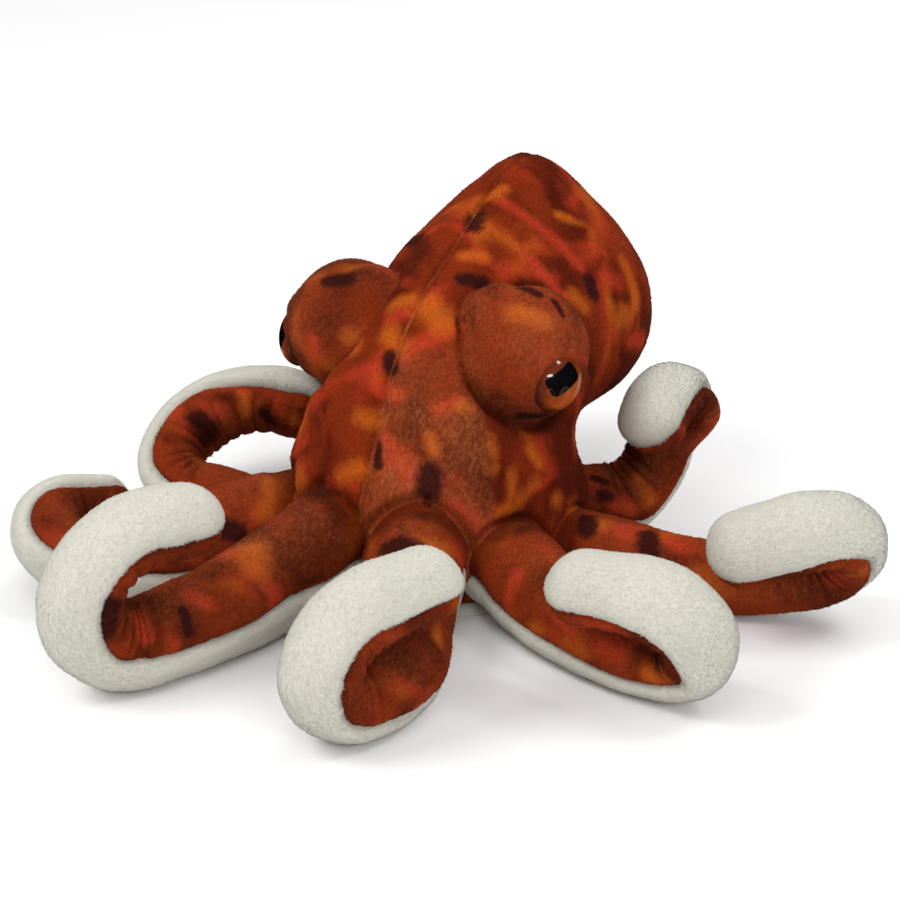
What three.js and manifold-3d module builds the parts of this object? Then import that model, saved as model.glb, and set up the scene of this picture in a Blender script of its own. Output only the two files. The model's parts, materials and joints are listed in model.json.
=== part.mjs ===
// A stuffed plush octopus, about 270 mm across. A head with two raised eyes carries a bag-shaped
// mantle that leans up and back. Eight stuffed arms run out over the floor and curl up at their
// ends. Each arm has a printed upper side and a cream underside, sewn together along its edges.
//
// Millimetres, +Z up. The head faces -Y, its left side is +X, and the origin is the middle of the
// flat base, on the floor.

import * as THREE from "three";
import { mergeVertices } from "three/addons/utils/BufferGeometryUtils.js";
import Module from "manifold-3d";

const wasm = await Module();
wasm.setup();

// ---- Driving dimensions -------------------------------------------------------------------

const GAP = 0.3; // between neighbouring pieces
const SMOOTHING = 0.13; // slivers thinner than this are taken off the cut pieces
const SMOOTHING_PASSES = 3;
const FLOOR_PRESS = 1.6; // how far a stuffed piece flattens where it lies on the floor

const BASE_RADIUS = 45; // the cream panel under the body
const BASE_THICKNESS = 3;
const BODY_SIDES = 24;

const ARM_RING = 50; // from the body's axis to where an arm starts
const THICK_ROOT = { halfWidth: 17.8, halfHeight: 21.5 }; // of the two arms with the most stuffing
const ARM_ROOT = { halfWidth: 17.8, halfHeight: 16.5 };
const SLIM_ROOT = { halfWidth: 13.5, halfHeight: 13.5 }; // of the arms that are thin all along
const TALL_ROOT = { halfWidth: 13.8, halfHeight: 19.5 };
const LOW_ROOT = { halfWidth: 13.5, halfHeight: 9.5 }; // of the arm that gets fuller towards its end
const ARM_TIP = { halfWidth: 12.2, halfHeight: 11.2 };
const FULL_TIP = { halfWidth: 12.8, halfHeight: 13.2 };
const ARM_THINNING = 0.45; // below 1, an arm gets thin soon after the body
const ARM_STEP = 12; // between the sections of an arm
const ROLL_STEP = 20; // the most degrees that an arm rolls between two sections
const STEP_SLACK = 0.4; // the share of a step that is left out sooner than given a section of its own
const ARM_SIDES = 10; // facets round an arm
const ARM_CUTS = [0.36, 0.68]; // shares of an arm where its root ends and where its tip starts
const TIP_ROUNDING = [0.55, 0.88, 1]; // where the sections of an arm's round end lie
const TIP_FLAT = 0.2; // how much of the section is left as a flat at the very end
const SEAM_MARGIN = 1.5; // how far the cut along a seam runs out past the arm
const BEND_ROOM = 0.46; // an arm's half height is at most this share of the radius that it curls in
const LEAST_BEND = 1; // the fewest degrees that a stroke's radius is worked out from

const MOUND = { x: 32.5, y: 5.5, z: 76, radii: [19.5, 23, 21.5] };
const BROW = { x: 23, y: 3, z: 86.5, radii: [11.5, 12, 12] }; // fills in between a mound and the mantle
const EYE = { x: 45.2, y: -3, z: 72.2, radius: 10, depth: 7.5, facing: [0.93, -0.36, 0.1] };

const EYE_SIDES = 16; // facets round an eye or a mound
const EYE_RINGS = 9;

// The body's sections, from the base to the end of the mantle: where each one crosses the front
// or top line of the body, where it crosses the back or underside line, and its half width, which
// lies WIDEST of the way from front to back. A ridge narrows a section towards its front or top.
const WIDEST = 0.63;
const HEAD_SECTIONS = [
  { front: [-46, BASE_THICKNESS + GAP], back: [46, BASE_THICKNESS + GAP], halfWidth: 46 },
  { front: [-49.6, 18], back: [49.6, 18], halfWidth: 49.6 },
  { front: [-47.5, 37], back: [46.5, 31.5], halfWidth: 48 },
  { front: [-39, 52], back: [41.5, 34.5], halfWidth: 46 },
  { front: [-31, 70], back: [43, 36.5], halfWidth: 43.5 },
  { front: [-20, 83.5], back: [48, 36.5], halfWidth: 42, ridge: 0.1 },
];
const MANTLE_SECTIONS = [
  { front: [-20, 83.5], back: [48, 36.5], halfWidth: 42, ridge: 0.1 },
  { front: [-4, 95], back: [55, 34], halfWidth: 41.5, ridge: 0.15 },
  { front: [18, 105], back: [63, 32], halfWidth: 42.5, ridge: 0.25 },
  { front: [35, 113], back: [72, 31], halfWidth: 44, ridge: 0.5 },
  { front: [50, 119.5], back: [83, 31.5], halfWidth: 44.5, ridge: 0.8 },
  { front: [64, 122.5], back: [94, 35.5], halfWidth: 43, ridge: 0.95 },
  { front: [75, 121], back: [103, 43], halfWidth: 37, ridge: 1 },
  { front: [85, 114.5], back: [109, 53], halfWidth: 27, ridge: 0.8 },
  { front: [93.5, 102], back: [111, 69], halfWidth: 15.5, ridge: 0 },
];

// Each arm leaves the body at its angle, seen from above, counter-clockwise from +X, as thick as
// its root, and ends as thick as its tip. A stroke is a length along the arm's underside, how far
// the arm turns up and how far it turns to its left over that length, and how far it rolls about
// itself, in degrees.
const ARMS = {
  left_1: {
    angle: 292,
    root: THICK_ROOT,
    strokes: [
      { length: 41, side: 3 },
      { length: 36, side: -45, roll: -8 },
      { length: 82, up: 175, side: 12 },
      { length: 21, up: 5 },
    ],
  },
  left_2: {
    angle: 331,
    root: ARM_ROOT,
    strokes: [
      { length: 25, side: 2, roll: 20 },
      { length: 50, side: 20, roll: 20 },
      { length: 80, up: 175, side: 18 },
      { length: 18, up: 5 },
    ],
  },
  left_3: {
    angle: 10,
    root: SLIM_ROOT,
    strokes: [
      { length: 20, side: -12, roll: 25 },
      { length: 57, side: 34, roll: 22 },
      { length: 82, up: 180 },
      { length: 17, up: 5 },
    ],
  },
  left_4: {
    angle: 50,
    root: SLIM_ROOT,
    strokes: [
      { length: 13, side: -8 },
      { length: 46, up: 90 },
      { length: 11, roll: 59 },
      { length: 49, up: 120, side: 25 },
      { length: 5, up: 5 },
    ],
  },
  right_1: {
    angle: 253,
    root: THICK_ROOT,
    strokes: [
      { length: 25, side: 6 },
      { length: 50, side: -20, roll: -10 },
      { length: 98, up: 180 },
      { length: 14, up: 5 },
    ],
  },
  right_2: {
    angle: 218,
    root: TALL_ROOT,
    strokes: [
      { length: 20, side: 36, roll: 34 },
      { length: 32, roll: 40 },
      { length: 92, up: 190 },
      { length: 10 },
    ],
  },
  right_3: {
    angle: 188,
    root: LOW_ROOT,
    tip: FULL_TIP,
    strokes: [
      { length: 34, side: 2, roll: 38 },
      { length: 46, up: 105, side: -12, roll: 10 },
      { length: 58, up: 75, side: -10, roll: 10 },
      { length: 2 },
    ],
  },
  right_4: {
    angle: 138,
    root: ARM_ROOT,
    strokes: [
      { length: 50, side: -50 },
      { length: 80, up: 170 },
      { length: 40, up: 10 },
    ],
  },
};

// ---- Materials ----------------------------------------------------------------------------

const printPlush = new THREE.MeshStandardMaterial({ color: 0x8a3416, roughness: 0.95, metalness: 0 });
const creamPlush = new THREE.MeshStandardMaterial({ color: 0xe9e5d8, roughness: 0.97, metalness: 0 });
const eyePlastic = new THREE.MeshStandardMaterial({ color: 0x2a0f04, roughness: 0.08, metalness: 0 });

// ---- Helpers ------------------------------------------------------------------------------

const radians = THREE.MathUtils.degToRad;
const lerp = THREE.MathUtils.lerp;

// A closed solid through a list of sections. Each section is a convex ring of points, listed
// counter-clockwise as seen from the end that the list runs to.
function loft(sections) {
  const count = sections[0].length;
  const positions = sections.flat().flatMap((p) => [p.x, p.y, p.z]);
  const index = [];
  for (let ring = 0; ring < sections.length - 1; ring++) {
    for (let i = 0; i < count; i++) {
      const a = ring * count + i;
      const b = ring * count + ((i + 1) % count);
      index.push(a, b, a + count, b, b + count, a + count);
    }
  }
  const last = (sections.length - 1) * count;
  for (let i = 1; i < count - 1; i++) {
    index.push(0, i + 1, i);
    index.push(last, last + i, last + i + 1);
  }
  const geometry = new THREE.BufferGeometry();
  geometry.setAttribute("position", new THREE.Float32BufferAttribute(positions, 3));
  geometry.setIndex(index);
  geometry.computeVertexNormals();
  return geometry;
}

function toManifold(geometry) {
  const bare = geometry.clone();
  bare.deleteAttribute("normal");
  bare.deleteAttribute("uv");
  const merged = mergeVertices(bare, 1e-4);
  return new wasm.Manifold(
    new wasm.Mesh({
      numProp: 3,
      vertProperties: new Float32Array(merged.attributes.position.array),
      triVerts: new Uint32Array(merged.index.array),
    }),
  );
}

function fromManifold(solid) {
  const mesh = solid.getMesh();
  const geometry = new THREE.BufferGeometry();
  geometry.setAttribute("position", new THREE.BufferAttribute(new Float32Array(mesh.vertProperties), 3));
  geometry.setIndex(new THREE.BufferAttribute(new Uint32Array(mesh.triVerts), 1));
  geometry.computeVertexNormals();
  return geometry;
}

// The largest of the pieces that a cut leaves.
function largest(solid) {
  return solid.decompose().reduce((best, piece) => (piece.volume() > best.volume() ? piece : best));
}

// A cut piece without the slivers along its cuts.
function smoothed(solid) {
  let result = solid.asOriginal().simplify(SMOOTHING);
  for (let pass = 1; pass < SMOOTHING_PASSES; pass++) result = result.asOriginal().simplify(SMOOTHING);
  return result;
}

// ---- Body ---------------------------------------------------------------------------------

// One section of the body: an ellipse between its front and back points, grown by `growth`.
function bodySection({ front, back, halfWidth, ridge = 0 }, growth = 0) {
  const frontPoint = new THREE.Vector3(0, ...front);
  const backPoint = new THREE.Vector3(0, ...back);
  const centre = frontPoint.clone().lerp(backPoint, WIDEST);
  const toFront = frontPoint.sub(centre);
  const toBack = backPoint.sub(centre);
  toFront.setLength(toFront.length() + growth);
  toBack.setLength(toBack.length() + growth);
  const ring = [];
  for (let i = 0; i < BODY_SIDES; i++) {
    const turn = (2 * Math.PI * i) / BODY_SIDES;
    const isFront = Math.cos(turn) > 0;
    const point = centre.clone().addScaledVector(isFront ? toFront : toBack, Math.abs(Math.cos(turn)));
    const across = Math.abs(Math.sin(turn)) ** (isFront ? 1 + ridge : 1);
    point.x += (halfWidth + growth) * across * Math.sign(Math.sin(turn));
    ring.push(point);
  }
  return ring;
}

// The same sections with each end moved along the body, to leave a gap to the next piece.
function trimStart(sections, distance) {
  const [first, second, ...rest] = sections;
  const share = distance / Math.hypot(second.back[0] - first.back[0], second.back[1] - first.back[1]);
  const start = {
    front: first.front.map((value, axis) => lerp(value, second.front[axis], share)),
    back: first.back.map((value, axis) => lerp(value, second.back[axis], share)),
    halfWidth: lerp(first.halfWidth, second.halfWidth, share),
    ridge: lerp(first.ridge, second.ridge, share),
  };
  return [start, second, ...rest];
}

function headGeometry() {
  return loft(HEAD_SECTIONS.map((section) => bodySection(section)));
}

function mantleGeometry() {
  return loft(trimStart(MANTLE_SECTIONS, GAP).map((section) => bodySection(section)));
}

// Head and mantle as one solid, grown by the gap, to cut out of the pieces that meet them.
const grownBody = toManifold(
  loft([...HEAD_SECTIONS, ...MANTLE_SECTIONS.slice(1)].map((section) => bodySection(section, GAP))),
);

// The cream panel that closes the body underneath, flat on the floor.
function basePanelGeometry() {
  const geometry = new THREE.CylinderGeometry(BASE_RADIUS, BASE_RADIUS, BASE_THICKNESS, BODY_SIDES);
  geometry.rotateX(Math.PI / 2);
  geometry.translate(0, 0, BASE_THICKNESS / 2);
  return geometry;
}

// A plastic eye: a flattened ball whose axis is the way it faces.
function eyeGeometry(side, growth = 0) {
  const geometry = new THREE.SphereGeometry(1, EYE_SIDES, EYE_RINGS);
  geometry.scale(EYE.radius + growth, EYE.radius + growth, EYE.depth + growth);
  const facing = new THREE.Vector3(side * EYE.facing[0], EYE.facing[1], EYE.facing[2]).normalize();
  geometry.applyQuaternion(new THREE.Quaternion().setFromUnitVectors(new THREE.Vector3(0, 0, 1), facing));
  geometry.translate(side * EYE.x, EYE.y, EYE.z);
  return geometry;
}

// One ball of the stuffing in a mound.
function moundBall(side, { x, y, z, radii }) {
  const ball = new THREE.SphereGeometry(1, EYE_SIDES, EYE_RINGS);
  ball.rotateX(Math.PI / 2);
  ball.scale(...radii);
  ball.translate(side * x, y, z);
  return toManifold(ball);
}

// The stuffed mound round an eye with its brow, less the body behind it and the eye set in it.
function moundGeometry(side) {
  const stuffing = moundBall(side, MOUND).add(moundBall(side, BROW));
  const solid = stuffing.subtract(grownBody).subtract(toManifold(eyeGeometry(side, GAP)));
  return fromManifold(smoothed(largest(solid)));
}

// ---- Arms ---------------------------------------------------------------------------------

// The size of an arm's section at a share of its length. It changes most near the body.
function armSize(length, root, tip) {
  const share = length ** ARM_THINNING;
  return {
    halfWidth: lerp(root.halfWidth, tip.halfWidth, share),
    halfHeight: lerp(root.halfHeight, tip.halfHeight, share),
  };
}

// Follows an arm's strokes along its underside. Returns a frame at each section: the point on
// the underside, the way along, the way to the printed side, the way to the arm's left, and the
// share of the arm's length.
function walkArm({ angle, root, tip = ARM_TIP, strokes }) {
  const turn = radians(angle);
  const along = new THREE.Vector3(Math.cos(turn), Math.sin(turn), 0);
  const up = new THREE.Vector3(0, 0, 1);
  const left = new THREE.Vector3().crossVectors(up, along);
  const place = along.clone().multiplyScalar(ARM_RING + GAP);
  const total = strokes.reduce((sum, stroke) => sum + stroke.length, 0);
  const frames = [];
  const keep = (size) => {
    frames.push({ place: place.clone(), along: along.clone(), up: up.clone(), left: left.clone(), size });
  };
  keep(armSize(0, root, tip));
  let gone = 0;
  for (const stroke of strokes) {
    const leastSteps = Math.max(stroke.length / ARM_STEP, Math.abs(stroke.roll ?? 0) / ROLL_STEP);
    const steps = Math.ceil(leastSteps - STEP_SLACK);
    const step = stroke.length / steps;
    for (let i = 0; i < steps; i++) {
      const rotate = (axis, degrees, ...vectors) => {
        vectors.forEach((vector) => vector.applyAxisAngle(axis, radians(degrees / steps / 2)));
      };
      for (const moving of [false, true]) {
        rotate(left.clone(), -(stroke.up ?? 0), along, up);
        rotate(up.clone(), stroke.side ?? 0, along, left);
        rotate(along.clone(), stroke.roll ?? 0, up, left);
        if (!moving) place.addScaledVector(along, step);
      }
      gone += step;
      const size = armSize(gone / total, root, tip);
      const radius = stroke.length / radians(Math.max(stroke.up ?? 0, LEAST_BEND));
      size.halfHeight = Math.min(size.halfHeight, BEND_ROOM * radius);
      const reach = Math.hypot(size.halfHeight * up.z, size.halfWidth * left.z);
      const lowest = place.z + up.z * (size.halfHeight - FLOOR_PRESS) - reach + FLOOR_PRESS;
      place.z += Math.max(0, -lowest);
      keep(size);
    }
  }
  return frames;
}

// The middle of an arm's section, moved along the arm by `shift`.
function sectionCentre(frame, shift) {
  return frame.place
    .clone()
    .addScaledVector(frame.up, frame.size.halfHeight - FLOOR_PRESS)
    .addScaledVector(frame.along, shift);
}

// The outline of an arm at one frame, flattened where it lies on the floor.
function armSection(frame, shift = 0, shrink = 1) {
  const { halfWidth, halfHeight } = frame.size;
  const centre = sectionCentre(frame, shift);
  const ring = [];
  for (let i = 0; i < ARM_SIDES; i++) {
    const turn = (2 * Math.PI * (i + 0.5)) / ARM_SIDES;
    const point = centre
      .clone()
      .addScaledVector(frame.left, halfWidth * shrink * Math.cos(turn))
      .addScaledVector(frame.up, halfHeight * shrink * Math.sin(turn));
    point.z = Math.max(point.z, 0);
    ring.push(point);
  }
  return ring;
}

// The outline of the space on the printed side of an arm's seam, from `lift` above its middle.
function printedSpace(frame, shift, lift) {
  const across = frame.size.halfWidth + SEAM_MARGIN;
  const over = frame.size.halfHeight + SEAM_MARGIN;
  const corners = [[across, lift], [across, over], [-across, over], [-across, lift]];
  return corners.map(([x, y]) =>
    sectionCentre(frame, shift).addScaledVector(frame.left, x).addScaledVector(frame.up, y),
  );
}

// One length of an arm, parted along its seam into a printed half and a cream half.
function partedLength(stretch, gap, isTip) {
  const first = stretch[0];
  const last = stretch[stretch.length - 1];
  const reach = isTip ? last.size.halfHeight : 0; // of the round end
  const sections = stretch.map((frame, i) => armSection(frame, i === 0 ? gap : 0));
  if (isTip) {
    for (const share of TIP_ROUNDING) {
      const shrink = Math.max(Math.sqrt(1 - share * share), TIP_FLAT);
      sections.push(armSection(last, reach * share, shrink));
    }
  }
  const space = (lift) =>
    toManifold(
      loft([
        printedSpace(first, -SEAM_MARGIN, lift),
        ...stretch.map((frame) => printedSpace(frame, 0, lift)),
        printedSpace(last, reach + SEAM_MARGIN, lift),
      ]),
    );
  const whole = toManifold(loft(sections)).subtract(grownBody);
  return { upper: whole.intersect(space(GAP / 2)), under: whole.subtract(space(-GAP / 2)) };
}

// Three lengths of each half of an arm, with a round end on the last.
function armGeometries(arm) {
  const frames = walkArm(arm);
  const cuts = [0, ...ARM_CUTS.map((share) => Math.round(frames.length * share)), frames.length - 1];
  const lengths = {};
  ["root", "middle", "tip"].forEach((name, part) => {
    const stretch = frames.slice(cuts[part], cuts[part + 1] + 1);
    const halves = partedLength(stretch, part > 0 ? GAP : 0, name === "tip");
    for (const [half, solid] of Object.entries(halves)) {
      lengths[`${half}_${name}`] = fromManifold(smoothed(largest(solid)));
    }
  });
  return lengths;
}

// ---- Assembly -----------------------------------------------------------------------------

const octopus = new THREE.Group();

function addPiece(name, geometry, material) {
  const mesh = new THREE.Mesh(geometry, material);
  mesh.name = name;
  octopus.add(mesh);
}

addPiece("base_panel", basePanelGeometry(), creamPlush);
addPiece("head", headGeometry(), printPlush);
addPiece("mantle", mantleGeometry(), printPlush);
for (const [name, side] of [["left", 1], ["right", -1]]) {
  addPiece(`eye_mound_${name}`, moundGeometry(side), printPlush);
  addPiece(`eye_${name}`, eyeGeometry(side), eyePlastic);
}
for (const [name, arm] of Object.entries(ARMS)) {
  for (const [length, geometry] of Object.entries(armGeometries(arm))) {
    addPiece(`arm_${name}_${length}`, geometry, length.startsWith("upper") ? printPlush : creamPlush);
  }
}

export default octopus;
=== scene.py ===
"""A stuffed plush octopus: a printed, short-pile body with glossy plastic eyes, and eight arms that
are printed above and cream below. Metres, +Z up, the head faces -Y, its left side is +X."""

import json
import math

import bmesh
import bpy
import numpy as np
from mathutils import Matrix, Vector

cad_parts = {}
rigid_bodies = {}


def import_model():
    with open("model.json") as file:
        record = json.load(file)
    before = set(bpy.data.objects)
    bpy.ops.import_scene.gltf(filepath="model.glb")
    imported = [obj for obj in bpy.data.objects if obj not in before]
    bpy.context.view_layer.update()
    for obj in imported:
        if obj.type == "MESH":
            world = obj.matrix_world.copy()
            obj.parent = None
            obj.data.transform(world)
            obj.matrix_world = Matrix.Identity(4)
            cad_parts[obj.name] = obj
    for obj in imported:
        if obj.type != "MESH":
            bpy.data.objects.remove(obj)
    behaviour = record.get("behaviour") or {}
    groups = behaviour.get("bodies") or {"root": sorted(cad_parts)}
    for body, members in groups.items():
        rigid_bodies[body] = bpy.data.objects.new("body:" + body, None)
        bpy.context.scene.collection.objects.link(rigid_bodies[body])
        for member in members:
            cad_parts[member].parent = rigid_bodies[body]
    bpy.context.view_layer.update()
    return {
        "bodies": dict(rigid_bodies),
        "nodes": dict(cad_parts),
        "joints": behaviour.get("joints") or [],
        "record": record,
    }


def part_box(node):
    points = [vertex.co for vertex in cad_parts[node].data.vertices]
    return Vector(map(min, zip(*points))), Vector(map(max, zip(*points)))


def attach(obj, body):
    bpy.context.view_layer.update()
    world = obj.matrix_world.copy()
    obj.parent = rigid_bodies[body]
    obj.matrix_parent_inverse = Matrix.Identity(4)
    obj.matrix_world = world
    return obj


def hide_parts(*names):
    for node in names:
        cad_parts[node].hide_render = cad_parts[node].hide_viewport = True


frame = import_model()

MM = 0.001

# ---- Driving dimensions, in millimetres ----

FLOOR_PRESS = 1.6  # how far an arm's underside is flattened where it lies
ARM_RING = 50.3  # radius of the ring from which the arms start
# Sizes of an arm's section: half width, half height.
THICK_ROOT = (17.8, 21.5)
TALL_ROOT = (13.8, 19.5)
LOW_ROOT = (13.5, 9.5)
ARM_ROOT = (17.8, 16.5)
SLIM_ROOT = (13.5, 13.5)
ARM_TIP = (12.2, 11.2)
FULL_TIP = (12.8, 13.2)
ARM_THINNING = 0.45  # below 1, an arm thins most near the body
BEND_ROOM = 0.46  # most half height in a curl, as a share of its radius
SKIN_INSET = 0.7  # how far the cloth lies inside the ends of its pile

MOUND = {"x": 32.5, "y": 5.5, "z": 76, "radii": (19.5, 23, 21.5)}
BROW = {"x": 23, "y": 3, "z": 86.5, "radii": (11.5, 12, 12)}
EYE = {"x": 45.2, "y": -3, "z": 72.2, "radius": 10, "depth": 7.5, "facing": (0.93, -0.36, 0.1)}
WIDEST = 0.63  # where the body is widest, as a share of the way from its front to its back
# Front or top point (y, z), back or underside point (y, z), half width, ridge.
BODY_SECTIONS = [
    ((-46, 3.3), (46, 3.3), 46, 0),
    ((-49.6, 18), (49.6, 18), 49.6, 0),
    ((-47.5, 37), (46.5, 31.5), 48, 0),
    ((-39, 52), (41.5, 34.5), 46, 0),
    ((-31, 70), (43, 36.5), 43.5, 0),
    ((-20, 83.5), (48, 36.5), 42, 0.1),
    ((-4, 95), (55, 34), 41.5, 0.15),
    ((18, 105), (63, 32), 42.5, 0.25),
    ((35, 113), (72, 31), 44, 0.5),
    ((50, 119.5), (83, 31.5), 44.5, 0.8),
    ((64, 122.5), (94, 35.5), 43, 0.95),
    ((75, 121), (103, 43), 37, 1),
    ((85, 114.5), (109, 53), 27, 0.8),
    ((93.5, 102), (111, 69), 15.5, 0),
]

# Name: angle round the body, root, tip, how far its seams are turned round it, and strokes of
# (length, up, side, roll). Angles in degrees.
ARMS = {
    "left_1": (292, THICK_ROOT, ARM_TIP, -22, [
        (41, 0, 3, 0), (36, 0, -45, -8), (82, 175, 12, 0), (21, 5, 0, 0)]),
    "left_2": (331, ARM_ROOT, ARM_TIP, -14, [
        (25, 0, 2, 20), (50, 0, 20, 20), (80, 175, 18, 0), (18, 5, 0, 0)]),
    "left_3": (10, SLIM_ROOT, ARM_TIP, 32, [
        (20, 0, -12, 25), (57, 0, 34, 22), (82, 180, 0, 0), (17, 5, 0, 0)]),
    "left_4": (50, SLIM_ROOT, ARM_TIP, 52, [
        (13, 0, -8, 0), (46, 90, 0, 0), (11, 0, 0, 59), (49, 120, 25, 0), (5, 5, 0, 0)]),
    "right_1": (253, THICK_ROOT, ARM_TIP, 0, [
        (25, 0, 6, 0), (50, 0, -20, -10), (98, 180, 0, 0), (14, 5, 0, 0)]),
    "right_2": (218, TALL_ROOT, ARM_TIP, -62, [
        (20, 0, 36, 34), (32, 0, 0, 40), (92, 190, 0, 0), (10, 0, 0, 0)]),
    "right_3": (188, LOW_ROOT, FULL_TIP, -30, [
        (34, 0, 2, 38), (46, 105, -12, 10), (58, 75, -10, 10), (2, 0, 0, 0)]),
    "right_4": (138, ARM_ROOT, ARM_TIP, 0, [
        (50, 0, -50, 0), (80, 170, 0, 0), (40, 10, 0, 0)]),
}

# ---- Numbers ----


def hashed(i, j, k, seed):
    """A random number from -1 to 1 for each whole-number place."""
    h = (i * 73856093) ^ (j * 19349663) ^ (k * 83492791) ^ (seed * 2654435761)
    h = (h ^ (h >> 13)) * 1274126177 & 0xFFFFFFFF
    h = (h ^ (h >> 16)) * 2246822519 & 0xFFFFFFFF
    return ((h ^ (h >> 15)) & 0xFFFFFF) / float(0x7FFFFF) - 1.0


def noise(points, size, seed=1):
    """Smooth noise, about -1 to 1, with lumps about `size` across."""
    q = np.asarray(points) / size + 100.37
    cell = np.floor(q).astype(np.int64)
    f = q - cell
    f = f * f * f * (f * (f * 6 - 15) + 10)
    total = np.zeros(len(q))
    for corner in np.ndindex(2, 2, 2):
        total += np.prod(np.where(corner, f, 1 - f), axis=1) * hashed(*(cell + corner).T, seed)
    return total


def unit(v):
    return v / np.maximum(np.linalg.norm(v, axis=-1, keepdims=True), 1e-12)


def step(x, low, high):
    """0 below low, 1 above high, smooth between."""
    t = np.clip((x - low) / (high - low), 0, 1)
    return t * t * (3 - 2 * t)


def bell(x, width):
    """1 at 0, falling smoothly to next to nothing at twice the width on either side."""
    return np.exp(-((x / width) ** 2))


# ---- Meshes ----


def add_object(name, data):
    obj = bpy.data.objects.new(name, data)
    bpy.context.collection.objects.link(obj)
    return obj


def mesh_object(name, verts, faces):
    """An object from numpy arrays. All faces have as many corners as faces has columns."""
    mesh = bpy.data.meshes.new(name)
    verts = np.asarray(verts, float)
    faces = np.asarray(faces, np.int32)
    mesh.vertices.add(len(verts))
    mesh.vertices.foreach_set("co", verts.ravel())
    mesh.loops.add(faces.size)
    mesh.loops.foreach_set("vertex_index", faces.ravel())
    mesh.polygons.add(len(faces))
    mesh.polygons.foreach_set("loop_start", np.arange(len(faces), dtype=np.int32) * faces.shape[1])
    mesh.polygons.foreach_set("use_smooth", np.ones(len(faces), bool))
    mesh.update(calc_edges=True)
    mesh.validate()
    return add_object(name, mesh)


def set_marks(obj, marks):
    """Stores the markings of each vertex for the materials: columns of MARK_NAMES."""
    for column, name in enumerate(MARK_NAMES):
        attribute = obj.data.attributes.new(name, "FLOAT", "POINT")
        attribute.data.foreach_set("value", marks[:, column].astype(float))


def read(items, kind, width=1, number=float):
    """What each of a mesh's items holds of one kind: numbers, or rows of them as long as width."""
    values = np.empty(len(items) * width, number)
    items.foreach_get(kind, values)
    return values.reshape(-1, width) if width > 1 else values


def ring_quads(rows, columns):
    """Four-sided faces between the rings of a tube."""
    index = np.arange(rows * columns).reshape(rows, columns)
    nxt = np.roll(index, -1, axis=1)
    return np.stack([index[:-1], nxt[:-1], nxt[1:], index[1:]], -1).reshape(-1, 4)


def closed_tube(name, verts, rows, columns):
    """An object from rings of vertices, closed by one face at each end, its faces turned outwards."""
    tube = mesh_object(name, verts, ring_quads(rows, columns)[:, [0, 3, 2, 1]])
    bm = bmesh.new()
    bm.from_mesh(tube.data)
    bmesh.ops.holes_fill(bm, edges=[e for e in bm.edges if e.is_boundary])
    bmesh.ops.recalc_face_normals(bm, faces=bm.faces)
    bm.to_mesh(tube.data)
    bm.free()
    return tube


# ---- Markings ----

# The fifth mark is painted shade in folds, creases, recesses and where parts meet; the sixth is painted
# sheen.
MARK_NAMES = ("spot", "amber", "coral", "seam", "deep", "painted_sheen")
FAR_FROM_SEAM = 9.0  # the most that the distance from a seam of the body is followed
# Markings of the print, listed one by one: the two ends of a stroke (x, y, z, x, y, z) and half its
# width, in millimetres.
SPOTS = [
    (-30, 39, 95, -19, 28, 101, 3.4), (1, 30, 111, 3, 26, 108, 3.3), (9, 5, 97, 14, 9, 96, 2.7),
    (29, 8, 97, 36, 5, 97, 2.2), (35, 47, 88, 37, 46, 85, 3.2), (14, -6, 89, 17, -11, 84, 1.7),
    (-33, -6, 94, -28, -4, 95, 3.0), (-2, -23, 79, 0, -26, 76, 2.6), (1, -38, 55, 3, -40, 49, 1.9),
    (19, -37, 48, 20, -39, 44, 4.2), (18, -62, 34, 27, -61, 34, 4.6), (38, -9, 60, 42, -6, 60, 3.2),
    (54, 5, 24, 56, 1, 22, 3.4), (76, 3, 23, 79, -3, 20, 3.6), (45, 36, 18, 47, 38, 17, 2.4),
    (41, 39, 23, 45, 40, 22, 1.7), (-92, 5, 31, -89, 7, 26, 4.6), (-75, 20, 32, -73, 22, 28, 2.4),
    (-48, -48, 20, -46, -46, 19, 3.8), (-23, -114, 25, -20, -116, 19, 1.9),
    (-33, -142, 28, -30, -142, 34, 6.0), (41, 7, 95, 45, 5, 92, 1.9), (44, 84, 72, 42, 90, 66, 3.0),
    (-14, 52, 118, -18, 56, 115, 3.2), (-40, 20, 84, -41, 26, 82, 3.4), (-44, 60, 84, -44, 66, 82, 3.2),
    (-30, 96, 90, -26, 100, 86, 3.6), (12, 108, 80, 8, 110, 76, 3.2), (-8, 104, 60, -14, 102, 58, 3.6),
    (28, 100, 60, 30, 96, 56, 3.0), (-22, 78, 112, -26, 80, 109, 2.8), (20, 88, 112, 23, 91, 108, 2.8),
    (-36, -18, 40, -34, -22, 36, 3.4), (-44, 10, 44, -44, 16, 40, 3.0), (-43, -12, 62, -44, -8, 60, 2.8),
    (20, 42, 36, 14, 44, 34, 3.4), (-24, 40, 28, -28, 38, 24, 3.2),
]
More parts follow.
